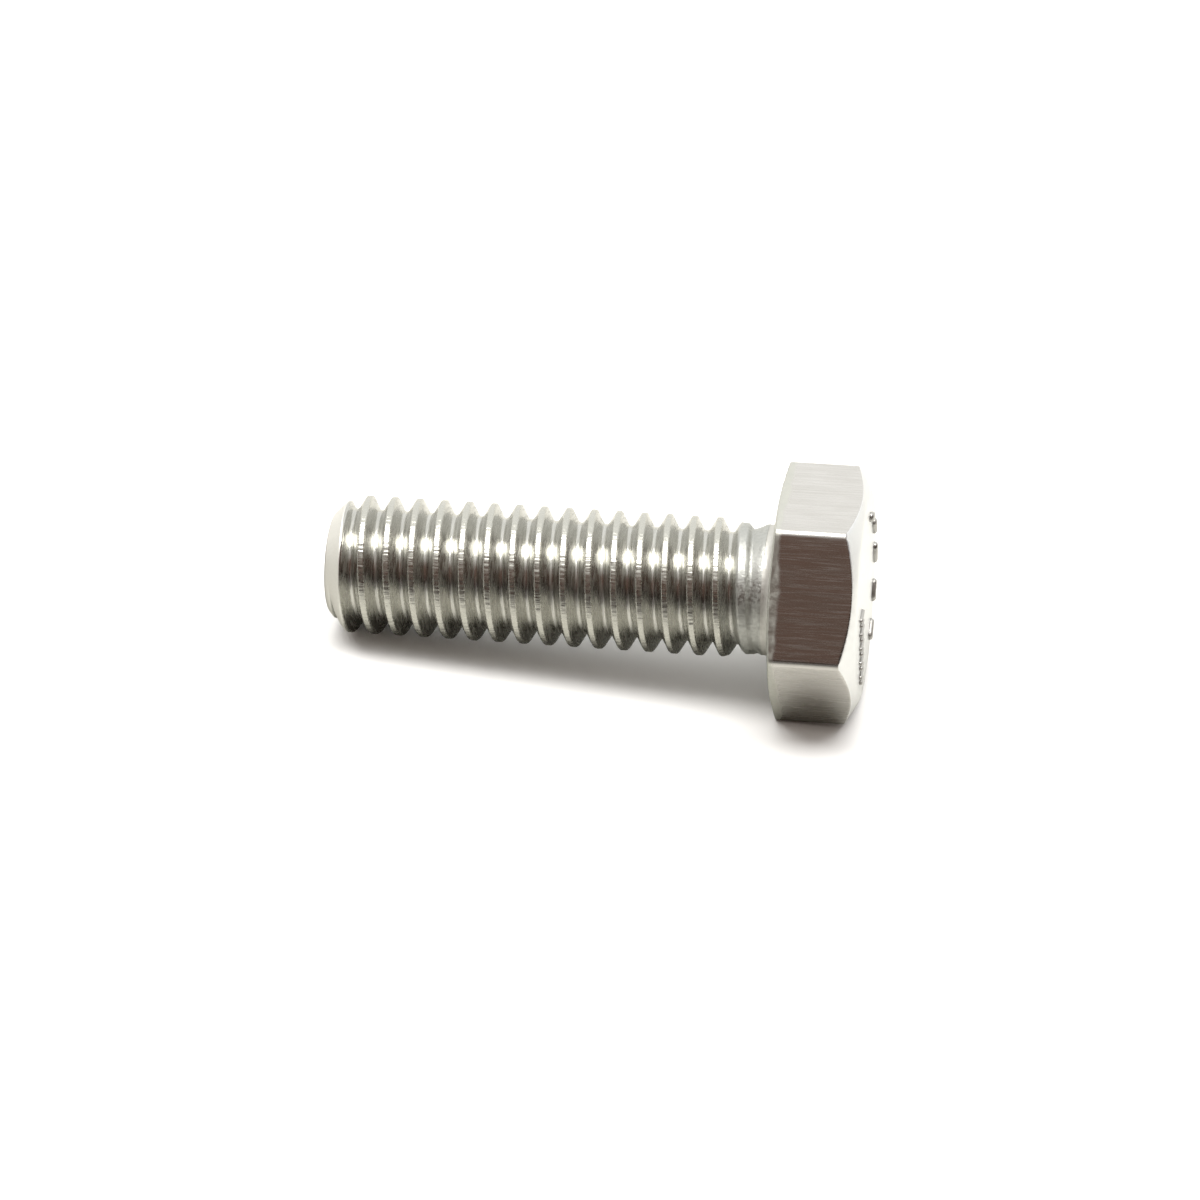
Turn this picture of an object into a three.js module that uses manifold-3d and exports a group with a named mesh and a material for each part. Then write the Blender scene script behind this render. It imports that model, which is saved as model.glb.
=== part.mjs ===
// Hex cap screw 5/16-18 UNC x 1 in, threaded right up to its head: one piece of forged stainless steel.
// Millimetres. The axis is X, with the head at the +X end and the point at the -X end.
// The origin is the centre of the head's top face, and two of the six wrench flats face +Z and -Z.

import * as THREE from "three";
import { mergeVertices } from "three/addons/utils/BufferGeometryUtils.js";
import Module from "manifold-3d";

const wasm = await Module();
wasm.setup();

// Driving dimensions.
const PITCH = 25.4 / 18;
const MAJOR_RADIUS = 3.88;
const ROOT_RADIUS = 3.07;
const CREST_FLAT = 0.28;
const FLANK_ANGLE = THREE.MathUtils.degToRad(30);
const LENGTH_UNDER_HEAD = 25.1;
const HEAD_HEIGHT = 4.87;
const ACROSS_FLATS = 12.55;
const TOP_CIRCLE_RADIUS = 5.8;
const TOP_CHAMFER_ANGLE = THREE.MathUtils.degToRad(30);
const BEARING_CIRCLE_RADIUS = 5.72;
const BEARING_CHAMFER_ANGLE = THREE.MathUtils.degToRad(9.5);
const POINT_RADIUS = 2.8;
const POINT_ANGLE = THREE.MathUtils.degToRad(45);
const LAST_CREST_RADIUS = 3.67;
const NECK_RADIUS = 3.63;
const FILLET_RADIUS = 0.6;

// Distances below the bearing face, towards the point.
const LAST_FULL_CREST = 3.33;
const CREST_FADE_START = 3.13;
const CREST_FADE_END = 2.03;
const ROOT_FADE_START = 2.43;
const ROOT_FADE_END = 0.73;

// Fineness of the facets.
const STEPS_PER_TURN = 28;
const HEAD_SEGMENTS = 72;
const FILLET_STEPS = 4;

// How far hidden surfaces run into their neighbour before they are joined.
const OVERLAP = 0.15;

const BEARING_X = -HEAD_HEIGHT;
const POINT_X = BEARING_X - LENGTH_UNDER_HEAD;
const CORNER_RADIUS = ACROSS_FLATS / 2 / Math.cos(Math.PI / 6);

// The x of a place that lies a given distance below the bearing face.
function belowHead(distance) {
  return BEARING_X - distance;
}

// A closed solid from a closed three.js geometry.
function toSolid(geometry) {
  const bare = geometry.clone();
  bare.deleteAttribute("normal");
  bare.deleteAttribute("uv");
  const merged = mergeVertices(bare, 1e-5);
  const mesh = new wasm.Mesh({
    numProp: 3,
    vertProperties: new Float32Array(merged.attributes.position.array),
    triVerts: new Uint32Array(merged.index.array),
  });
  return new wasm.Manifold(mesh);
}

// A three.js geometry from a solid.
function toGeometry(solid) {
  const mesh = solid.getMesh();
  const geometry = new THREE.BufferGeometry();
  geometry.setAttribute("position", new THREE.BufferAttribute(mesh.vertProperties, 3));
  geometry.setIndex(new THREE.BufferAttribute(mesh.triVerts, 1));
  const flat = geometry.toNonIndexed();
  flat.computeVertexNormals();
  return flat;
}

// A solid turned about the X axis. The profile is a list of [x, radius] pairs in order of rising x.
function turned(profile, segments) {
  const points = profile.map(([x, radius]) => new THREE.Vector2(radius, x));
  const lathe = new THREE.LatheGeometry(points, segments);
  lathe.rotateZ(-Math.PI / 2);
  return toSolid(lathe);
}

// The thread's sweep: the path is the bolt's axis, and the section turns about it once in each pitch.
// A section's first coordinate is its radius and its second one lies along the axis.
class ScrewPath extends THREE.LineCurve3 {
  constructor(startX, endX, crestX) {
    super(new THREE.Vector3(startX, 0, 0), new THREE.Vector3(endX, 0, 0));
    this.crestX = crestX;
  }

  computeFrenetFrames(steps) {
    const frames = { tangents: [], normals: [], binormals: [] };
    for (let step = 0; step <= steps; step += 1) {
      const x = this.getPoint(step / steps).x;
      const turn = Math.PI / 2 + (2 * Math.PI * (x - this.crestX)) / PITCH;
      frames.tangents.push(new THREE.Vector3(0, -Math.sin(turn), Math.cos(turn)));
      frames.normals.push(new THREE.Vector3(0, Math.cos(turn), Math.sin(turn)));
      frames.binormals.push(new THREE.Vector3(-1, 0, 0));
    }
    return frames;
  }
}

// The ridge between two neighbouring grooves, swept from beyond the point to where the grooves end.
function threadRidge() {
  const baseRadius = ROOT_RADIUS - OVERLAP;
  const crestHalf = CREST_FLAT / 2;
  const baseHalf = crestHalf + (MAJOR_RADIUS - baseRadius) * Math.tan(FLANK_ANGLE);
  const section = new THREE.Shape([
    new THREE.Vector2(baseRadius, -baseHalf),
    new THREE.Vector2(MAJOR_RADIUS, -crestHalf),
    new THREE.Vector2(MAJOR_RADIUS, crestHalf),
    new THREE.Vector2(baseRadius, baseHalf),
  ]);
  const crestX = belowHead(LAST_FULL_CREST);
  const turnsToPoint = Math.ceil((crestX - POINT_X) / PITCH) + 1;
  const turnsToHead = Math.ceil((LAST_FULL_CREST - ROOT_FADE_END) / PITCH);
  const path = new ScrewPath(crestX - turnsToPoint * PITCH, crestX + turnsToHead * PITCH, crestX);
  const steps = (turnsToPoint + turnsToHead) * STEPS_PER_TURN;
  const geometry = new THREE.ExtrudeGeometry(section, { steps, extrudePath: path, bevelEnabled: false });
  return toSolid(geometry);
}

// The shank below the grooves: a rod at the thread's root that is chamfered at the point and widens to
// the neck under the head.
function rod() {
  const chamferLength = (ROOT_RADIUS - POINT_RADIUS) / Math.tan(POINT_ANGLE);
  const profile = [
    [POINT_X, 0],
    [POINT_X, POINT_RADIUS],
    [POINT_X + chamferLength, ROOT_RADIUS],
    [belowHead(ROOT_FADE_START), ROOT_RADIUS],
    [belowHead(ROOT_FADE_END), NECK_RADIUS],
    [BEARING_X + OVERLAP, NECK_RADIUS],
    [BEARING_X + OVERLAP, 0],
  ];
  return turned(profile, STEPS_PER_TURN);
}

// The space that the ridge keeps to: the chamfered point, the major diameter, and crests that sink into
// the neck under the head.
function ridgeEnvelope() {
  const chamferLength = (MAJOR_RADIUS + OVERLAP - POINT_RADIUS) / Math.tan(POINT_ANGLE);
  const profile = [
    [POINT_X, 0],
    [POINT_X, POINT_RADIUS],
    [POINT_X + chamferLength, MAJOR_RADIUS + OVERLAP],
    [belowHead(CREST_FADE_START), MAJOR_RADIUS + OVERLAP],
    [belowHead(CREST_FADE_END), LAST_CREST_RADIUS],
    [belowHead(ROOT_FADE_END), NECK_RADIUS - OVERLAP],
    [belowHead(ROOT_FADE_END), 0],
  ];
  return turned(profile, STEPS_PER_TURN);
}

// The fillet that joins the neck to the bearing face.
function fillet() {
  const profile = [[BEARING_X - FILLET_RADIUS, 0]];
  for (let step = 0; step <= FILLET_STEPS; step += 1) {
    const angle = (step / FILLET_STEPS) * (Math.PI / 2);
    const x = BEARING_X - FILLET_RADIUS * (1 - Math.sin(angle));
    const radius = NECK_RADIUS + FILLET_RADIUS * (1 - Math.cos(angle));
    profile.push([x, radius]);
  }
  profile.push([BEARING_X + OVERLAP, NECK_RADIUS + FILLET_RADIUS]);
  profile.push([BEARING_X + OVERLAP, 0]);
  return turned(profile, STEPS_PER_TURN);
}

// The hexagon of the head, before its chamfers are cut.
function hexagonBar() {
  const outline = new THREE.Shape();
  for (let corner = 0; corner < 6; corner += 1) {
    const angle = (corner * Math.PI) / 3;
    const across = CORNER_RADIUS * Math.cos(angle);
    const up = CORNER_RADIUS * Math.sin(angle);
    if (corner === 0) {
      outline.moveTo(across, up);
    } else {
      outline.lineTo(across, up);
    }
  }
  outline.closePath();
  const bar = new THREE.ExtrudeGeometry(outline, { depth: HEAD_HEIGHT, bevelEnabled: false });
  bar.rotateX(Math.PI / 2);
  bar.rotateZ(Math.PI / 2);
  bar.translate(BEARING_X, 0, 0);
  return toSolid(bar);
}

// The turned shape that cuts the hexagon's corners at the head's top and, less deeply, under it.
function headEnvelope() {
  const outerRadius = CORNER_RADIUS + OVERLAP;
  const bearingCut = (outerRadius - BEARING_CIRCLE_RADIUS) * Math.tan(BEARING_CHAMFER_ANGLE);
  const topCut = (outerRadius - TOP_CIRCLE_RADIUS) * Math.tan(TOP_CHAMFER_ANGLE);
  const profile = [
    [BEARING_X, 0],
    [BEARING_X, BEARING_CIRCLE_RADIUS],
    [BEARING_X + bearingCut, outerRadius],
    [-topCut, outerRadius],
    [0, TOP_CIRCLE_RADIUS],
    [0, 0],
  ];
  return turned(profile, HEAD_SEGMENTS);
}

// Bare stainless steel, as it leaves the header and the thread rolling dies.
function stainlessSteel() {
  return new THREE.MeshStandardMaterial({ color: 0xb9b6b0, roughness: 0.3, metalness: 1 });
}

function hexBolt() {
  const shank = rod().add(threadRidge().intersect(ridgeEnvelope()));
  const head = hexagonBar().intersect(headEnvelope());
  const body = head.add(fillet()).add(shank);
  const mesh = new THREE.Mesh(toGeometry(body), stainlessSteel());
  mesh.name = "hex_bolt";
  return mesh;
}

const group = new THREE.Group();
group.add(hexBolt());

export default group;
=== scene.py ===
"""A stainless steel hex cap screw, 5/16-18 UNC x 1 in, lying on a pale studio floor.

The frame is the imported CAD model: X is the screw's axis with the head at its +X end, and two wrench flats
face +Z and -Z. Lengths here are in millimetres, and MM turns them into the scene's metres.
"""

import math

import bpy
import numpy as np
from mathutils import Matrix, Vector


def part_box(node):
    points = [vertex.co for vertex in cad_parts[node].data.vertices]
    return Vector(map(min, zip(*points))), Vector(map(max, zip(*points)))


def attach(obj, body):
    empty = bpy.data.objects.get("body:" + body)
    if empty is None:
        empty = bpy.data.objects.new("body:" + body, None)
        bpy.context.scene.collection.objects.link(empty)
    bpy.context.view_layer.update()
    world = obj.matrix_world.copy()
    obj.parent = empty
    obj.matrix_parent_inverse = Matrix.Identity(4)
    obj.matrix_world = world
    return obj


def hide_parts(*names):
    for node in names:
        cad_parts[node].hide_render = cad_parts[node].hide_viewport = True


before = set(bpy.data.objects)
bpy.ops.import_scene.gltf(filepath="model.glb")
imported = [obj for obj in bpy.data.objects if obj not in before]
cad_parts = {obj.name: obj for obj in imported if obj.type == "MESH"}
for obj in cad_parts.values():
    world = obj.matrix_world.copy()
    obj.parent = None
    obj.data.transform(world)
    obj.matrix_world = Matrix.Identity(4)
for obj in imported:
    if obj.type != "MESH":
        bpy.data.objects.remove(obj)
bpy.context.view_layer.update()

MM = 0.001
NODE = "hex_bolt"
LOW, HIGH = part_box(NODE)

# The head, from the frame's box and from the same driving dimensions as the CAD model.
TOP_X = HIGH.x / MM
HALF_FLATS = HIGH.z / MM
HEAD_HEIGHT = 4.87
BEARING_X = TOP_X - HEAD_HEIGHT
TOP_CIRCLE = 5.8
TOP_SLOPE = math.tan(math.radians(30))
BEARING_CIRCLE = 5.72
BEARING_SLOPE = math.tan(math.radians(9.5))
CORNER_ROUNDING = 0.5
RIM_ROUNDING = 0.12
UNDER_EDGE_ROUNDING = 0.06
TOP_EDGE_ROUNDING = 0.08

# The band above the bearing face where the header pulled the flats in.
ROLL_WIDTH = 0.6
ROLL_DEPTH = 0.11
ROLL_CURVE = 2.5
ROLL_LOSS_AT_CORNERS = 0.1

# The shank, likewise.
POINT_X = LOW.x / MM
PITCH = 25.4 / 18
MAJOR_RADIUS = 3.88
ROOT_RADIUS = 3.10
ROOT_ARC = 0.20
NECK_RADIUS = 3.63
FILLET = 0.6
LAST_FULL_CREST = 3.33
POINT_RADIUS = 2.8
POINT_SLOPE = math.tan(math.radians(45))
POINT_EDGE = 0.1
POINT_ROUNDING = 0.06
CREST_ROUNDING = 0.07
NICK_DEPTH = 0.014
FLANK_ANGLE = math.radians(30)
FLANK_SLOPE = 1 / math.tan(FLANK_ANGLE)
CREST_HALF = PITCH / 2 - (MAJOR_RADIUS - ROOT_RADIUS + ROOT_ARC) / FLANK_SLOPE

# The run-out under the head. Each range runs towards the head and gives distances below the bearing face.
CREST_SINK = 0.22
CREST_SINK_RANGE = (3.08, 2.03)
NECK_SINK = 0.04
NECK_SINK_RANGE = (1.98, 0.98)
ROOT_RISE_START = 2.38
ROOT_RISE_LENGTH = 1.7
ROOT_RISE_BELOW = 0.11
ROOT_RISE_ROUNDING = 0.12
WORKED_START_RANGE = (2.43, 1.98)
WORKED_END_RANGE = (0.3, 0.7)

# The plain marks on top: dashes on an arc, and a straight row. A size is a length, a width and a height.
DASH_COUNT = 5
DASH_ARC_RADIUS = 4.4
DASH_FIRST_ANGLE = 60
DASH_SPACING_ANGLE = 29.5
DASH_SIZE = (1.3, 0.55, 0.22)
ROW_COUNT = 10
ROW_START = (-2.9, 0.6)
ROW_SPACING = 0.47
ROW_SIZES = ((1.2, 0.26, 0.17), (0.8, 0.26, 0.17))
MARK_SUNK = 0.03

# Fineness of the mesh.
FLAT_STEPS = 16
CORNER_STEPS = 8
ROOT_STEPS = 5
FLANK_STEPS = 2
FILLET_STEPS = 10
POINT_EDGE_STEPS = 6
MARK_END_STEPS = 7

# Lines of the thread's grid beside a crest, as shares of half its width.
CREST_STEPS = (0, 0.5, 0.8, 1, 1.2, 1.45)

# Radii of the rings on the flat faces.
POINT_RING_RADII = (1.0, 1.9, 2.5)
BEARING_RING_RADII = (4.6, 5.1, 5.5)
TOP_RING_RADII = (5.3, 4.4, 3.3, 2.2, 1.1)

# Rings on the side of the head: distances from either face, then from the lower one, then from the top.
RIM_RINGS = (0.006, 0.014, 0.03, 0.06)
UNDER_RINGS = (*np.linspace(0.1, 1.0, 19), 1.8)
OVER_RINGS = (2.0, *np.linspace(1.05, 0.1, 24))

# A line of the thread's grid that comes closer than this to an end ring runs into the ring.
SNAP = 0.012


# ---------------------------------------------------------------------------------------------------------
# Shape


def soft_min(a, b, width):
    """The smaller of two lengths, with the corner between them rounded over the given width."""
    h = np.clip(0.5 + 0.5 * (b - a) / width, 0.0, 1.0)
    return b + (a - b) * h - width * h * (1 - h)


def soft_max(a, b, width):
    """The larger of two lengths, with the corner between them rounded over the given width."""
    return -soft_min(-a, -b, width)


def ramp(value, start, end):
    """0 at start, 1 at end, and smooth between them."""
    t = np.clip((value - start) / (end - start), 0.0, 1.0)
    return t * t * (3 - 2 * t)


def off_flat_angle(angle):
    """Angle from the middle of the nearest wrench flat. The flats face 30, 90, 150... degrees."""
    return np.abs(angle % (math.pi / 3) - math.pi / 6)


def corner_arc_start():
    """Angle from the middle of a flat at which the rounding of its corner begins."""
    return math.atan((HALF_FLATS - CORNER_ROUNDING) * math.tan(math.pi / 6) / HALF_FLATS)


def column_angles():
    """Angles about the axis, close together where the head's corners are rounded."""
    arc_start = corner_arc_start()
    across = np.linspace(-arc_start, arc_start, FLAT_STEPS + 1)
    around = np.linspace(arc_start, math.pi / 3 - arc_start, CORNER_STEPS + 1)
    sector = np.concatenate([across[:-1], around[:-1]])
    return np.concatenate([sector + math.pi / 6 + k * math.pi / 3 for k in range(6)])


def hexagon_radius(angle):
    """Distance from the axis to the rounded hexagon."""
    off_flat = off_flat_angle(angle)
    flat = HALF_FLATS / np.cos(off_flat)
    centre = (HALF_FLATS - CORNER_ROUNDING) / math.cos(math.pi / 6)
    off_corner = math.pi / 6 - off_flat
    under_root = np.maximum(CORNER_ROUNDING**2 - (centre * np.sin(off_corner)) ** 2, 0)
    rounded = centre * np.cos(off_corner) + np.sqrt(under_root)
    return np.where(off_flat > corner_arc_start(), rounded, flat)


def roll_width(angle):
    """Height of the band above the bearing face where the header pulled the flats in.

    It is a little lower at the corners, and its edge wanders in three uneven waves around the head.
    """
    towards_corner = off_flat_angle(angle) / (math.pi / 6)
    wander = 0.05 * np.sin(5 * angle + 1) + 0.04 * np.sin(13 * angle) + 0.03 * np.sin(29 * angle + 2)
    return ROLL_WIDTH * (1 - ROLL_LOSS_AT_CORNERS * towards_corner**6) + wander


def chamfer_radius(circle, slope, drop):
    """Radius of a turned chamfer at a given drop below its face, with a rounded rim."""
    least_drop = 0.002
    drop = np.maximum(drop, least_drop)
    return circle + drop / slope - RIM_ROUNDING**2 * slope / (4 * drop)


def head_radius(x, angle):
    """Distance from the axis to the side of the head."""
    above = x - BEARING_X
    pulled = ROLL_DEPTH * np.clip(1 - above / roll_width(angle), 0, 1) ** ROLL_CURVE
    side = hexagon_radius(angle) - pulled
    under = chamfer_radius(BEARING_CIRCLE, BEARING_SLOPE, above)
    over = chamfer_radius(TOP_CIRCLE, TOP_SLOPE, TOP_X - x)
    return soft_min(soft_min(side, under, UNDER_EDGE_ROUNDING), over, TOP_EDGE_ROUNDING)


def crest_place(angle):
    """The x of the last full crest on a line along the shank."""
    return BEARING_X - LAST_FULL_CREST + PITCH * (angle - math.pi / 2) / (2 * math.pi)


def thread_height(x, angle):
    """Height of the thread above its root: a round root and straight flanks that meet in a sharp ridge."""
    from_crest = np.abs((x - crest_place(angle) + PITCH / 2) % PITCH - PITCH / 2)
    from_root = PITCH / 2 - from_crest
    arc_end = ROOT_ARC * math.cos(FLANK_ANGLE)
    root = ROOT_ARC - np.sqrt(np.maximum(ROOT_ARC**2 - from_root**2, 0))
    flank = ROOT_ARC / 2 + (from_root - arc_end) * FLANK_SLOPE
    return np.where(from_root < arc_end, root, flank)


def point_limit(x):
    """Radius of the chamfer at the end of the screw."""
    return POINT_RADIUS + (x - POINT_X) * POINT_SLOPE


def nicks(x, angle):
    """Small dents that the rolling dies left across the crests, in patches, from -1 to 1.

    Each wave is a number of beads or patches round the thread, which drift a little from turn to turn.
    """
    turn = (x - POINT_X) / PITCH
    beads = np.sin(54 * angle + 9 * turn) + 0.5 * np.sin(35 * angle - 14 * turn + 1)
    patches = ramp(np.sin(2 * angle + 2.3 * turn) + np.sin(5 * angle - 3.1 * turn), -0.3, 0.9)
    return beads * patches / 1.5


def shank_radius(x, angle):
    """Distance from the axis to the shank, with the thread running out at both ends."""
    below = BEARING_X - x
    crest_limit = MAJOR_RADIUS - CREST_SINK * ramp(below, *CREST_SINK_RANGE)
    crest_limit = crest_limit - NECK_SINK * ramp(below, *NECK_SINK_RANGE)
    crest_limit = crest_limit + NICK_DEPTH * (nicks(x, angle) - 1)
    root_rise = np.clip((ROOT_RISE_START - below) / ROOT_RISE_LENGTH, 0, 1)
    root_limit = ROOT_RADIUS - ROOT_RISE_BELOW + (NECK_RADIUS - ROOT_RADIUS + ROOT_RISE_BELOW) * root_rise
    radius = soft_min(ROOT_RADIUS + thread_height(x, angle), crest_limit, CREST_ROUNDING)
    radius = soft_max(radius, root_limit, ROOT_RISE_ROUNDING)
    return soft_min(radius, point_limit(x), POINT_ROUNDING)


# ---------------------------------------------------------------------------------------------------------
# Mesh


class Skin:
    """Collects the vertices and faces of the screw. A ring is a list of vertices, one for each column."""

    def __init__(self, angles):
        self.angles = angles
        self.count = len(angles)
        self.points = []
        self.faces = []
        self.zones = []

    def add(self, x, radius, angle):
        """Adds a vertex and returns its number."""
        self.points.append((x, radius * math.cos(angle), radius * math.sin(angle)))
        return len(self.points) - 1

    def ring(self, x, radius):
        """Adds a ring and returns it. The place and the radius may be one number or one for each column."""
        xs = np.broadcast_to(x, self.count)
        radii = np.broadcast_to(radius, self.count)
        return [self.add(xs[i], radii[i], self.angles[i]) for i in range(self.count)]

    def face(self, corners, zone):
        """Adds a face, leaving out corners that are one and the same vertex."""
        kept = [c for i, c in enumerate(corners) if c != corners[i - 1]]
        if len(set(kept)) == len(kept) and len(kept) > 2:
            self.faces.append(kept)
            self.zones.append(zone)

    def band(self, low, high, zone):
        """Faces between two rings, where the second ring lies further along the surface towards +X."""
        for i in range(self.count):
            after = (i + 1) % self.count
            self.face([low[i], low[after], high[after], high[i]], zone)

    def cap(self, ring, centre, zone, flipped):
        """Faces between a ring and the vertex at its centre, facing +X unless they are flipped."""
        for i in range(self.count):
            after = (i + 1) % self.count
            corners = [ring[i], ring[after], centre]
            self.face(corners[::-1] if flipped else corners, zone)


def pitch_steps():
    """Places within one pitch, from crest to crest, close together where the thread is rounded."""
    arc_start = PITCH / 2 - ROOT_ARC * math.cos(FLANK_ANGLE)
    crest = CREST_HALF * np.array(CREST_STEPS)
    flank = np.linspace(crest[-1], arc_start, FLANK_STEPS + 1)[1:]
    root = np.linspace(arc_start, PITCH / 2, ROOT_STEPS + 1)[1:]
    rise = np.concatenate([crest, flank, root])
    return np.concatenate([rise, PITCH - rise[-2:0:-1]])


def thread_grid(skin, first_ring, first_x, last_ring, last_x):
    """The shank's surface, on a grid that is sheared along the helix so that its lines follow the thread."""
    steps = pitch_steps()
    per_turn = len(steps)
    shear = PITCH * (skin.angles - skin.angles[0]) / (2 * math.pi)
    crest_x = crest_place(skin.angles[0])
    turns_before = math.ceil((crest_x - first_x) / PITCH) + 2
    turns_after = math.ceil((last_x - crest_x) / PITCH) + 1
    lines = np.array([crest_x + k * PITCH + s for k in range(-turns_before, turns_after) for s in steps])
    grid = np.zeros((skin.count, len(lines)), int)
    for i in range(skin.count):
        xs = lines + shear[i]
        radii = shank_radius(xs, skin.angles[i])
        for j, x in enumerate(xs):
            if x <= first_x + SNAP:
                grid[i, j] = first_ring[i]
            elif x >= last_x - SNAP:
                grid[i, j] = last_ring[i]
            else:
                grid[i, j] = skin.add(x, radii[j], skin.angles[i])
    for i in range(skin.count):
        after, shift = (i + 1, 0) if i + 1 < skin.count else (0, per_turn)
        for j in range(len(lines) - 1 - shift):
            low, high = j + shift, j + 1 + shift
            skin.face([grid[i, j], grid[after, low], grid[after, high], grid[i, j + 1]], "thread")


def point_rings(skin):
    """The flat end of the screw with its rounded edge. Returns the last ring, where the thread begins."""
    centre = skin.add(POINT_X, 0, 0)
    rings = [skin.ring(POINT_X, radius) for radius in POINT_RING_RADII]
    skin.cap(rings[0], centre, "point", True)
    for step in range(POINT_EDGE_STEPS + 1):
        turn = step / POINT_EDGE_STEPS * math.pi / 2
        x = POINT_X + POINT_EDGE * (1 - math.cos(turn))
        drop = POINT_EDGE * (1 - math.sin(turn))
        rings.append(skin.ring(x, shank_radius(x, skin.angles) - drop))
    for low, high in zip(rings, rings[1:]):
        skin.band(low, high, "point")
    return rings[-1]


def head_rings(skin, neck_ring):
    """Fillet, bearing face, chamfers, flats and top face."""
    ring = neck_ring
    for step in range(1, FILLET_STEPS + 1):
        turn = step / FILLET_STEPS * math.pi / 2
        x = BEARING_X - FILLET * (1 - math.sin(turn))
        new = skin.ring(x, NECK_RADIUS + FILLET * (1 - math.cos(turn)))
        skin.band(ring, new, "forged")
        ring = new
    for radius in BEARING_RING_RADII:
        new = skin.ring(BEARING_X, radius)
        skin.band(ring, new, "forged")
        ring = new
    under = np.concatenate([RIM_RINGS, UNDER_RINGS])
    over = np.concatenate([OVER_RINGS, RIM_RINGS[::-1]])
    for x in np.concatenate([BEARING_X + under, TOP_X - over]):
        new = skin.ring(x, head_radius(np.full(skin.count, x), skin.angles))
        skin.band(ring, new, "head")
        ring = new
    for radius in TOP_RING_RADII:
        new = skin.ring(TOP_X, radius)
        skin.band(ring, new, "top")
        ring = new
    skin.cap(ring, skin.add(TOP_X, 0, 0), "top", False)


def bolt_mesh():
    """The screw's mesh, and the skin that says which zone each of its faces lies in."""
    skin = Skin(column_angles())
    first_ring = point_rings(skin)
    last_x = BEARING_X - FILLET
    neck_ring = skin.ring(last_x, NECK_RADIUS)
    thread_grid(skin, first_ring, POINT_X + POINT_EDGE, neck_ring, last_x)
    head_rings(skin, neck_ring)
    mesh = bpy.data.meshes.new("bolt_body")
    mesh.from_pydata([Vector(p) * MM for p in skin.points], [], skin.faces)
    mesh.update()
    return mesh, skin


def add_signs(mesh):
    """Stores on each vertex the measures that the finishes follow.

    They are how deep it lies inside the band or chamfer above the bearing face, how deep inside the top
    chamfer, how far it is above a full crest, how far outside the point's chamfer, and how far the run-out
    of the thread was worked there.
    """
    co = np.zeros(len(mesh.vertices) * 3)
    mesh.vertices.foreach_get("co", co)
    x, y, z = (co.reshape(-1, 3) / MM).T
    angle = np.arctan2(z, y) % (2 * math.pi)
    side = hexagon_radius(angle)
    above = x - BEARING_X
    in_chamfer = (side - chamfer_radius(BEARING_CIRCLE, BEARING_SLOPE, above)) * BEARING_SLOPE
    in_roll = roll_width(angle) - above
    radius = np.hypot(y, z)
    signs = {
        "under_cut": np.maximum(in_chamfer, in_roll),
        "top_cut": side - chamfer_radius(TOP_CIRCLE, TOP_SLOPE, TOP_X - x),
        "crest": radius - MAJOR_RADIUS,
        "cone": radius - point_limit(x),
        "worked": ramp(BEARING_X - x, *WORKED_START_RANGE) * ramp(BEARING_X - x, *WORKED_END_RANGE),
    }
    for name, value in signs.items():
        attribute = mesh.attributes.new(name, "FLOAT", "POINT")
        attribute.data.foreach_set("value", np.clip(value, -1, 1).astype(np.float32))


def pillow(length, width, height):
    """Rings of points of a small raised bar with round ends and a rounded top, as lists of (u, v, h).

    Each ring of the rounded top is drawn in by a share of half the width, at a share of the height.
    """
    outline = []
    for end in (0, 1):
        for step in range(MARK_END_STEPS + 1):
            turn = math.pi * (end + step / MARK_END_STEPS) - math.pi / 2
            centre = (length - width) / 2 * (1 - 2 * end)
            outline.append((centre, math.cos(turn), math.sin(turn)))
    rings = [[(centre + width / 2 * c, width / 2 * s, -MARK_SUNK) for centre, c, s in outline]]
    for inset, level in ((0, 0.35), (0.12, 0.72), (0.32, 0.94), (0.6, 1.0)):
        reach = width / 2 * (1 - inset)
        rings.append([(centre + reach * c, reach * s, level * height) for centre, c, s in outline])
    return rings


def add_bar(points, faces, centre, direction, size):
    """Adds one raised bar to the top of the head. The centre and direction are (y, z) pairs."""
    across = (-direction[1], direction[0])
    rings = pillow(*size)
    first = len(points)
    count = len(rings[0])
    for ring in rings:
        for u, v, lift in ring:
            y = centre[0] + u * direction[0] + v * across[0]
            z = centre[1] + u * direction[1] + v * across[1]
            points.append((TOP_X + lift, y, z))
    for level in range(len(rings) - 1):
        for i in range(count):
            after = (i + 1) % count
            low, high = first + level * count, first + (level + 1) * count
            faces.append((low + i, low + after, high + after, high + i))
    faces.append(tuple(first + i for i in range(count))[::-1])
    faces.append(tuple(first + (len(rings) - 1) * count + i for i in range(count)))


def marks_mesh():
    """Plain raised marks in place of lettering: dashes on an arc, and a straight row of small ones."""
    points, faces = [], []
    for k in range(DASH_COUNT):
        angle = math.radians(DASH_FIRST_ANGLE - DASH_SPACING_ANGLE * k)
        centre = (DASH_ARC_RADIUS * math.cos(angle), DASH_ARC_RADIUS * math.sin(angle))
        add_bar(points, faces, centre, (-math.sin(angle), math.cos(angle)), DASH_SIZE)
    for k in range(ROW_COUNT):
        centre = (ROW_START[0], ROW_START[1] - ROW_SPACING * k)
        add_bar(points, faces, centre, (1, 0), ROW_SIZES[k % 2])
    mesh = bpy.data.meshes.new("head_marks")
    mesh.from_pydata([Vector(p) * MM for p in points], [], faces)
    mesh.update()
    return mesh


# ---------------------------------------------------------------------------------------------------------
# Materials

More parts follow.
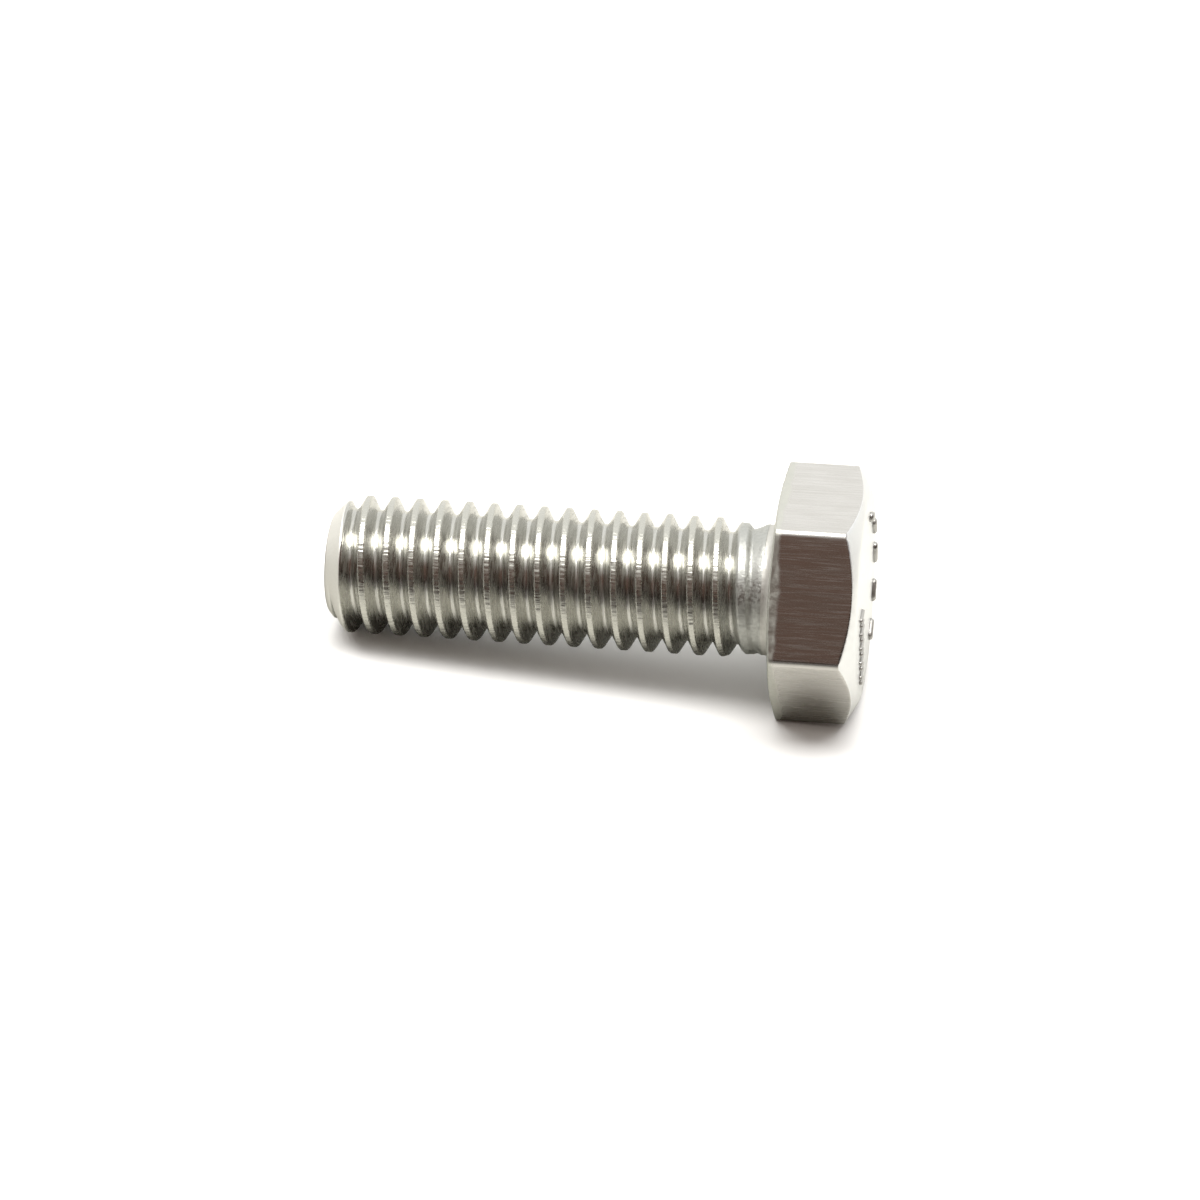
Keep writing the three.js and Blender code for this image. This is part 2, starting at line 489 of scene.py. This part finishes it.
STEEL = (0.62, 0.605, 0.58, 1)
STEEL_DARK = (0.52, 0.505, 0.475, 1)
ROLLED = (0.54, 0.535, 0.50, 1)
ROLLED_DARK = (0.46, 0.455, 0.42, 1)
CREST = (0.50, 0.495, 0.45, 1)
WORKED = (0.44, 0.445, 0.42, 1)
FORGED = (0.53, 0.53, 0.485, 1)
CONE = (0.74, 0.73, 0.69, 1)
PALE = (0.78, 0.785, 0.785, 1)
# The marks' colour is painted darker, as a stand-in for the shade on their sides.
MARK_PAINTED_SHADE = (0.38, 0.38, 0.37, 1)

# Depths of the finest relief, in metres.
LINE_DEPTH = 0.000003
BAR_DEPTH = 0.000028
SMEAR_DEPTH = 0.00002
SATIN_DEPTH = 0.000006
FORGED_DEPTH = 0.000020
BRUSHED_DEPTH = 0.0000009
BAND_DEPTH = 0.00003
CHAMFER_DEPTH = 0.000004
MARK_DEPTH = 0.000010


class Nodes:
    """Short calls for building a node tree."""

    def __init__(self, tree):
        self.tree = tree
        self.tree.nodes.clear()

    def node(self, kind, **settings):
        """Adds a node and sets its own settings."""
        new = self.tree.nodes.new(kind)
        for name, value in settings.items():
            setattr(new, name, value)
        return new

    def join(self, source, target):
        """Links a node's output to another node's input."""
        self.tree.links.new(source, target)

    def put(self, target, value):
        """Links a socket to the target, or gives the target a plain value."""
        if isinstance(value, bpy.types.NodeSocket):
            self.join(value, target)
        else:
            target.default_value = value

    def maths(self, operation, *values):
        """The result of one operation on numbers or sockets."""
        new = self.node("ShaderNodeMath", operation=operation)
        for socket, value in zip(new.inputs, values):
            self.put(socket, value)
        return new.outputs[0]

    def spread(self, value, start, end, low=0.0, high=1.0):
        """Turns a value from start to end smoothly into one from low to high."""
        new = self.node("ShaderNodeMapRange", interpolation_type="SMOOTHSTEP")
        for name, setting in (
            ("Value", value), ("From Min", start), ("From Max", end), ("To Min", low), ("To Max", high)
        ):
            self.put(new.inputs[name], setting)
        return new.outputs["Result"]

    def vary(self, noise, low=0.0, high=1.0):
        """A value from low to high that follows a noise, which lies mostly between 0.3 and 0.7."""
        return self.spread(noise, 0.3, 0.7, low, high)

    def noise(self, vector, scale, detail=2.0, rough=0.5):
        """Noise whose grain is stretched: scale is how many features lie in a metre along X, Y and Z."""
        mapping = self.node("ShaderNodeMapping")
        mapping.inputs["Scale"].default_value = scale
        self.join(vector, mapping.inputs["Vector"])
        new = self.node("ShaderNodeTexNoise")
        new.inputs["Scale"].default_value = 1.0
        new.inputs["Detail"].default_value = detail
        new.inputs["Roughness"].default_value = rough
        self.join(mapping.outputs[0], new.inputs["Vector"])
        return new.outputs["Fac"]

    def blend(self, factor, a, b):
        """A colour between two colours."""
        new = self.node("ShaderNodeMix", data_type="RGBA")
        self.put(new.inputs["Factor"], factor)
        self.put(new.inputs["A"], a)
        self.put(new.inputs["B"], b)
        return new.outputs["Result"]

    def mix(self, factor, a, b):
        """A number between two numbers."""
        new = self.node("ShaderNodeMix", data_type="FLOAT")
        self.put(new.inputs["Factor"], factor)
        self.put(new.inputs["A"], a)
        self.put(new.inputs["B"], b)
        return new.outputs["Result"]

    def attribute(self, name):
        """A measure that add_signs stored on the vertices."""
        return self.node("ShaderNodeAttribute", attribute_name=name).outputs["Fac"]

    def bump(self, height, distance, normal=None):
        """Fine relief whose depth is the distance, in metres, on top of an earlier relief if one is given."""
        new = self.node("ShaderNodeBump")
        new.inputs["Strength"].default_value = 1.0
        self.put(new.inputs["Distance"], distance)
        self.join(height, new.inputs["Height"])
        if normal is not None:
            self.join(normal, new.inputs["Normal"])
        return new.outputs["Normal"]


def steel(name):
    """A new metal material. Returns it with its node helper, its shader and the object's coordinates."""
    material = bpy.data.materials.new(name)
    material.use_nodes = True
    nodes = Nodes(material.node_tree)
    output = nodes.node("ShaderNodeOutputMaterial")
    shader = nodes.node("ShaderNodeBsdfPrincipled")
    shader.inputs["Metallic"].default_value = 1.0
    nodes.join(shader.outputs[0], output.inputs["Surface"])
    coordinates = nodes.node("ShaderNodeTexCoord").outputs["Object"]
    return material, nodes, shader, coordinates


def rolled_steel():
    """The thread: bright, with fine lines around it, satin crests, a worked run-out and a matte point.

    The lines' roughness comes in narrow stripes, some smooth and some dull, which gives each highlight a
    bright middle and a soft edge.
    """
    material, nodes, shader, place = steel("steel_rolled")
    lines = nodes.noise(place, (9000, 700, 700), 3)
    grain = nodes.noise(place, (5200, 5200, 5200), 3, 0.6)
    smear = nodes.noise(place, (4200, 7500, 7500), 4, 0.65)
    bars = nodes.noise(place, (900, 6500, 6500), 1)
    stripes = nodes.noise(place, (14000, 900, 900), 2)
    on_crest = nodes.spread(nodes.attribute("crest"), -0.16, -0.05)
    worked = nodes.attribute("worked")
    cone = nodes.spread(nodes.attribute("cone"), -0.1, -0.03)
    colour = nodes.blend(nodes.vary(lines), ROLLED, ROLLED_DARK)
    colour = nodes.blend(on_crest, colour, CREST)
    colour = nodes.blend(worked, colour, WORKED)
    nodes.put(shader.inputs["Base Color"], nodes.blend(cone, colour, CONE))
    rough = nodes.spread(stripes, 0.4, 0.65, 0.16, 0.37)
    rough = nodes.mix(on_crest, rough, nodes.vary(grain, 0.22, 0.34))
    rough = nodes.mix(worked, rough, nodes.vary(grain, 0.3, 0.65))
    nodes.put(shader.inputs["Roughness"], nodes.mix(cone, rough, nodes.vary(smear, 0.44, 0.6)))
    normal = nodes.bump(lines, LINE_DEPTH)
    normal = nodes.bump(bars, nodes.maths("MULTIPLY", on_crest, BAR_DEPTH), normal)
    normal = nodes.bump(smear, nodes.maths("MULTIPLY", worked, SMEAR_DEPTH), normal)
    nodes.put(shader.inputs["Normal"], normal)
    return material


def point_steel():
    """The end face and the start of the thread: plain, satin."""
    material, nodes, shader, place = steel("steel_point")
    grain = nodes.noise(place, (3000, 3000, 3000), 3)
    nodes.put(shader.inputs["Base Color"], STEEL)
    nodes.put(shader.inputs["Roughness"], nodes.vary(grain, 0.28, 0.42))
    nodes.put(shader.inputs["Normal"], nodes.bump(grain, SATIN_DEPTH))
    return material


def forged_steel():
    """The fillet and the bearing face: as the header left them."""
    material, nodes, shader, place = steel("steel_forged")
    grain = nodes.noise(place, (2600, 2600, 2600), 4, 0.6)
    nodes.put(shader.inputs["Base Color"], nodes.blend(grain, STEEL, FORGED))
    nodes.put(shader.inputs["Roughness"], nodes.vary(grain, 0.48, 0.62))
    nodes.put(shader.inputs["Normal"], nodes.bump(grain, FORGED_DEPTH))
    return material


def head_steel():
    """The side of the head: flats brushed along the axis, and duller above and below them.

    The brushing is a mixture of bright ground and rough scratches. The band above the bearing face and the
    chamfer on top have finishes of their own.
    """
    material, nodes, shader, place = steel("steel_brushed")
    brushed = nodes.noise(place, (220, 9000, 9000), 3, 0.6)
    scratches = nodes.noise(place, (520, 15000, 15000), 3, 0.6)
    blotches = nodes.noise(place, (500, 1100, 1100), 3)
    grain = nodes.noise(place, (2600, 2600, 2600), 4, 0.6)
    under = nodes.spread(nodes.attribute("under_cut"), -0.12, 0.16)
    over = nodes.spread(nodes.attribute("top_cut"), -0.02, 0.05)
    scratched = nodes.spread(scratches, 0.42, 0.72)
    blotch_share = 0.35
    tone = nodes.maths("MULTIPLY", brushed, 1 - blotch_share)
    tone = nodes.maths("ADD", nodes.maths("MULTIPLY", blotches, blotch_share), tone)
    colour = nodes.blend(nodes.spread(tone, 0.25, 0.75), STEEL, STEEL_DARK)
    colour = nodes.blend(over, colour, PALE)
    nodes.put(shader.inputs["Base Color"], nodes.blend(under, colour, FORGED))
    ground_rough = nodes.vary(tone, 0.14, 0.25)
    scratch_rough = 0.33
    flat_rough = nodes.mix(scratched, ground_rough, scratch_rough)
    rough = nodes.mix(over, flat_rough, nodes.vary(grain, 0.3, 0.4))
    rough = nodes.mix(under, rough, nodes.vary(grain, 0.36, 0.55))
    nodes.put(shader.inputs["Roughness"], rough)
    normal = nodes.bump(brushed, nodes.mix(under, BRUSHED_DEPTH, 0.0))
    depth = nodes.maths("MULTIPLY", under, BAND_DEPTH)
    depth = nodes.maths("ADD", depth, nodes.maths("MULTIPLY", over, CHAMFER_DEPTH))
    nodes.put(shader.inputs["Normal"], nodes.bump(grain, depth, normal))
    return material


def top_steel():
    """The top of the head: satin."""
    material, nodes, shader, place = steel("steel_top")
    grain = nodes.noise(place, (2000, 2000, 2000), 4, 0.6)
    nodes.put(shader.inputs["Base Color"], PALE)
    nodes.put(shader.inputs["Roughness"], nodes.vary(grain, 0.28, 0.4))
    nodes.put(shader.inputs["Normal"], nodes.bump(grain, SATIN_DEPTH))
    return material


def mark_steel():
    """The raised marks on top: duller than the face around them, and painted darker to stand in for the shade
    on their sides.
    """
    material, nodes, shader, place = steel("steel_mark_painted_shade")
    grain = nodes.noise(place, (4000, 4000, 4000), 3, 0.6)
    # Painted shade: the darker colour stands in for the shade on the marks' sides.
    nodes.put(shader.inputs["Base Color"], nodes.blend(grain, MARK_PAINTED_SHADE, STEEL_DARK))
    nodes.put(shader.inputs["Roughness"], nodes.vary(grain, 0.3, 0.5))
    nodes.put(shader.inputs["Normal"], nodes.bump(grain, MARK_DEPTH))
    return material


# ---------------------------------------------------------------------------------------------------------
# Pieces


def add_piece(name, mesh):
    """Puts a mesh in the scene as a visible steel piece that stays with the part's only body."""
    mesh.polygons.foreach_set("use_smooth", [True] * len(mesh.polygons))
    piece = bpy.data.objects.new(name, mesh)
    bpy.context.scene.collection.objects.link(piece)
    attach(piece, "root")
    return piece


def make_bolt():
    """The whole screw, which stands in for the CAD model's node."""
    mesh, skin = bolt_mesh()
    add_signs(mesh)
    finishes = {
        "thread": rolled_steel(),
        "point": point_steel(),
        "forged": forged_steel(),
        "head": head_steel(),
        "top": top_steel(),
    }
    for material in finishes.values():
        mesh.materials.append(material)
    zones = list(finishes)
    mesh.polygons.foreach_set("material_index", [zones.index(zone) for zone in skin.zones])
    bolt = add_piece("bolt_body", mesh)
    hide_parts(NODE)


def make_marks():
    """The raised marks on top, as a piece of their own."""
    mesh = marks_mesh()
    mesh.materials.append(mark_steel())
    add_piece("head_marks", mesh)


# ---------------------------------------------------------------------------------------------------------
# Studio

# The floor, in metres, and the painted shade under the screw, which only the steel sees in its reflections.
# The shade is darkest as far from its middle line as the shank or the head reaches, and gone where its fade
# ends.
FLOOR_REACH = 1.5
SHADE_MIDDLE = 0.003
SHADE_REACH_UNDER_SHANK = 0.0045
SHADE_REACH_UNDER_HEAD = 0.006
SHADE_FADE_END = 0.009

# Where the screw rests on it, in millimetres from the bearing face and from the end of the point.
EDGE_CONTACT = 0.26
CREST_CONTACT = 1.3

# How the floor looks to the camera, and how the steel sees it: plain behind the screw, with painted shade
# under it and darker painted shade in front of it.
PAPER = (0.96, 0.958, 0.95, 1)
PAPER_BEHIND = (0.74, 0.735, 0.69, 1)
PAINTED_SHADE_UNDER = (0.29, 0.29, 0.26, 1)
PAINTED_SHADE_IN_FRONT = (0.12, 0.115, 0.11, 1)

# The camera, in degrees and millimetres. The aim is measured from the middle of the screw's length, on
# its axis.
CAMERA_AZIMUTH = 9.35
CAMERA_ELEVATION = 33.51
CAMERA_ROLL = -1.48
CAMERA_DISTANCE = 254.9
CAMERA_AIM = (0.19, -0.61, -0.99)
CAMERA_LENS = 137.31
CAMERA_SENSOR = 36

# The soft box, in metres and watts.
KEY_LENGTH = 0.95
KEY_WIDTH = 0.32
KEY_HEIGHT = 0.6
KEY_FORWARD = 0.055
KEY_POWER = 5.3
KEY_COLOUR = (1.0, 0.99, 0.97)

# The surroundings.
SWEEP = (1.33, 1.33, 1.31, 1)
CARD = (1.6, 1.6, 1.57, 1)
ROOM_LOW = (0.04, 0.03, 0.026, 1)
ROOM_HIGH = (0.165, 0.105, 0.083, 1)
ROOM_OVERHEAD = (0.9, 0.89, 0.87, 1)
BACKDROP = (1, 1, 1, 1)


def floor_paper_and_painted_shade():
    """Plain white paper to the camera. In the steel's reflections it has painted shade under the screw, and
    darker painted shade in front of it.

    The painted shade under the screw is a little wider under the head, and it ends at the head's top. The
    lengths here are in metres, from the screw's own origin.
    """
    material = bpy.data.materials.new("floor_paper_and_painted_shade")
    material.use_nodes = True
    nodes = Nodes(material.node_tree)
    output = nodes.node("ShaderNodeOutputMaterial")
    shader = nodes.node("ShaderNodeBsdfDiffuse")
    nodes.join(shader.outputs[0], output.inputs["Surface"])
    separate = nodes.node("ShaderNodeSeparateXYZ")
    nodes.join(nodes.node("ShaderNodeTexCoord").outputs["Object"], separate.inputs[0])
    right, back = separate.outputs["X"], separate.outputs["Y"]
    # Painted shade under the screw, seen only in the steel's reflections: this darker patch stands in for the
    # screw's shadow on the floor.
    off_middle = nodes.maths("ABSOLUTE", nodes.maths("SUBTRACT", back, SHADE_MIDDLE))
    darkest = nodes.spread(right, -0.005, -0.008, SHADE_REACH_UNDER_HEAD, SHADE_REACH_UNDER_SHANK)
    across = nodes.spread(off_middle, SHADE_FADE_END, darkest)
    along = nodes.spread(right, 0.003, -0.003)
    under = nodes.maths("MULTIPLY", across, along)
    # Painted shade in front of the screw, seen only in the steel's reflections: the floor there is darker, as
    # if less light falls on it.
    shade_in_front = nodes.spread(back, -0.006, -0.028)
    reflected = nodes.blend(under, PAPER_BEHIND, PAINTED_SHADE_UNDER)
    reflected = nodes.blend(shade_in_front, reflected, PAINTED_SHADE_IN_FRONT)
    seen = nodes.node("ShaderNodeLightPath").outputs["Is Camera Ray"]
    nodes.put(shader.inputs["Color"], nodes.blend(seen, reflected, PAPER))
    return material


def make_floor():
    """The screw lies on one edge of its lower flat and on the thread near its point, so it is tilted."""
    edge = Vector((BEARING_X + EDGE_CONTACT, 0, -HALF_FLATS)) * MM
    crest = Vector((POINT_X + CREST_CONTACT, 0, -MAJOR_RADIUS)) * MM
    along = (edge - crest).normalized() * FLOOR_REACH
    across = Vector((0, 1, 0)) * FLOOR_REACH
    corners = [edge + along * a + across * b for a, b in ((-1, -1), (1, -1), (1, 1), (-1, 1))]
    mesh = bpy.data.meshes.new("floor")
    mesh.from_pydata(corners, [], [(0, 1, 2, 3)])
    mesh.materials.append(floor_paper_and_painted_shade())
    floor = bpy.data.objects.new("floor", mesh)
    bpy.context.scene.collection.objects.link(floor)


def make_camera():
    """A long lens in front of the screw, above it and a little to its right."""
    azimuth = math.radians(CAMERA_AZIMUTH)
    elevation = math.radians(CAMERA_ELEVATION)
    roll = Matrix.Rotation(math.radians(CAMERA_ROLL), 4, "Z")
    aim = Vector((POINT_X / 2 + CAMERA_AIM[0], CAMERA_AIM[1], CAMERA_AIM[2]))
    back = Vector((
        math.sin(azimuth) * math.cos(elevation),
        -math.cos(azimuth) * math.cos(elevation),
        math.sin(elevation),
    ))
    data = bpy.data.cameras.new("camera")
    data.sensor_width = CAMERA_SENSOR
    data.lens = CAMERA_LENS
    data.clip_start = 0.01
    data.clip_end = 20
    camera = bpy.data.objects.new("camera", data)
    turn = back.to_track_quat("Z", "Y").to_matrix().to_4x4() @ roll
    camera.matrix_world = Matrix.Translation((aim + back * CAMERA_DISTANCE) * MM) @ turn
    bpy.context.scene.collection.objects.link(camera)
    bpy.context.scene.camera = camera


def make_key_light():
    """A long soft box overhead, in line with the screw and a little towards the viewer."""
    data = bpy.data.lights.new("key", "AREA")
    data.shape = "ELLIPSE"
    data.size = KEY_LENGTH
    data.size_y = KEY_WIDTH
    data.energy = KEY_POWER
    data.color = KEY_COLOUR
    light = bpy.data.objects.new("key", data)
    light.location = Vector((POINT_X / 2 * MM, -KEY_FORWARD, KEY_HEIGHT))
    light.visible_camera = False
    bpy.context.scene.collection.objects.link(light)


def make_world():
    """What the steel reflects: a white sweep behind, a low white card at the left, and a room in front.

    The room is dark and a little warm, and pale straight above, around the soft box. The camera itself sees
    plain white. Each mask is a smooth step in a direction's X, Y or Z, which run from -1 to 1.
    """
    world = bpy.data.worlds.new("studio")
    world.use_nodes = True
    bpy.context.scene.world = world
    nodes = Nodes(world.node_tree)
    output = nodes.node("ShaderNodeOutputWorld")
    direction = nodes.node("ShaderNodeTexCoord").outputs["Generated"]
    separate = nodes.node("ShaderNodeSeparateXYZ")
    nodes.join(direction, separate.inputs[0])
    right, back, up = (separate.outputs[name] for name in "XYZ")
    behind = nodes.spread(back, 0.2, 0.55)
    high = nodes.spread(up, 0.0, 0.5)
    overhead = nodes.spread(up, 0.56, 0.92)
    at_left = nodes.maths("MULTIPLY", nodes.spread(right, -0.82, -0.95), nodes.spread(up, 0.5, 0.3))
    colour = nodes.blend(high, ROOM_LOW, ROOM_HIGH)
    colour = nodes.blend(overhead, colour, ROOM_OVERHEAD)
    colour = nodes.blend(at_left, colour, CARD)
    colour = nodes.blend(behind, colour, SWEEP)
    seen = nodes.node("ShaderNodeLightPath").outputs["Is Camera Ray"]
    shown = nodes.blend(seen, colour, BACKDROP)
    background = nodes.node("ShaderNodeBackground")
    nodes.join(shown, background.inputs["Color"])
    nodes.join(background.outputs[0], output.inputs["Surface"])


make_camera()
make_bolt()
make_marks()
make_floor()
make_key_light()
make_world()
bpy.context.scene.view_settings.view_transform = "Standard"
